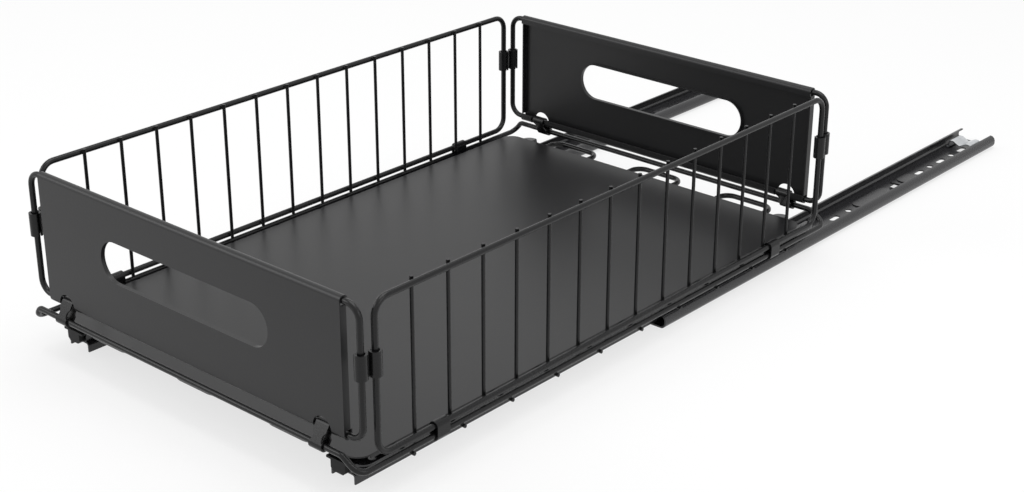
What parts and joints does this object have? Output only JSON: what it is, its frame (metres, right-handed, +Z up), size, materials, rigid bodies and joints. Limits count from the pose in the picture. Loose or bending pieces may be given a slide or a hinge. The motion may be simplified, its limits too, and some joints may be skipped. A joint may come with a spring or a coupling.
{
  "type": "pull out cabinet basket",
  "caption": "Wire and sheet-metal cabinet basket with handle slots, pulled out on a pair of ball-bearing slides screwed to the cabinet floor.",
  "frame": {"origin": "on the cabinet floor, midway between the two cabinet rails and halfway along them", "axes": "+X right seen from the front, +Y towards the back of the cabinet, +Z up; the basket stands pulled out towards -Y"},
  "size_m": [0.3094, 0.7666, 0.1273],
  "materials": {
    "black_powder_coat": "satin black powder coat on steel",
    "black_wire": "satin black powder coat on steel wire",
    "rail_black": "smooth black e-coat on pressed steel",
    "galvanised": "bright galvanised spring steel",
    "ball_steel": "polished hardened steel balls",
    "bumper_plastic": "moulded black plastic"
  },
  "bodies": {
    "cabinet_rails": {"left_cabinet_rail": "rail_black", "left_rail_stop": "galvanised", "right_cabinet_rail": "rail_black", "right_rail_stop": "galvanised"},
    "basket": {"base_frame": "black_wire", "cross_wires": "black_wire", "floor_loops": "black_wire", "floor_panel": "black_powder_coat", "front_wall_frame": "black_wire", "front_panel": "black_powder_coat", "rear_wall_frame": "black_wire", "rear_panel": "black_powder_coat", "front_base_clips": "black_powder_coat", "rear_base_clips": "black_powder_coat", "left_base_clips": "black_powder_coat", "right_base_clips": "black_powder_coat", "left_side_frame": "black_wire", "left_side_uprights": "black_wire", "left_inner_rail": "rail_black", "left_rail_carrier": "rail_black", "left_rail_rivets": "rail_black", "left_front_bumper": "bumper_plastic", "front_left_corner_clip": "black_powder_coat", "rear_left_corner_clip": "black_powder_coat", "right_side_frame": "black_wire", "right_side_uprights": "black_wire", "right_inner_rail": "rail_black", "right_rail_carrier": "rail_black", "right_rail_rivets": "rail_black", "right_front_bumper": "bumper_plastic", "front_right_corner_clip": "black_powder_coat", "rear_right_corner_clip": "black_powder_coat"},
    "left_ball_cage_body": {"left_ball_cage": "galvanised", "left_balls": "ball_steel"},
    "right_ball_cage_body": {"right_ball_cage": "galvanised", "right_balls": "ball_steel"}
  },
  "joints": [
    {"name": "basket_slide", "type": "slide", "parent": "cabinet_rails", "child": "basket", "axis": [0, -1, 0], "range_m": [-0.281, 0.069]},
    {"name": "left_cage_slide", "type": "slide", "parent": "cabinet_rails", "child": "left_ball_cage_body", "axis": [0, -1, 0], "range_m": [-0.1405, 0.0345]},
    {"name": "right_cage_slide", "type": "slide", "parent": "cabinet_rails", "child": "right_ball_cage_body", "axis": [0, -1, 0], "range_m": [-0.1405, 0.0345]}
  ],
  "couplings": [
    {"joint": "left_cage_slide", "follows": "basket_slide", "ratio": 0.5},
    {"joint": "right_cage_slide", "follows": "basket_slide", "ratio": 0.5}
  ]
}
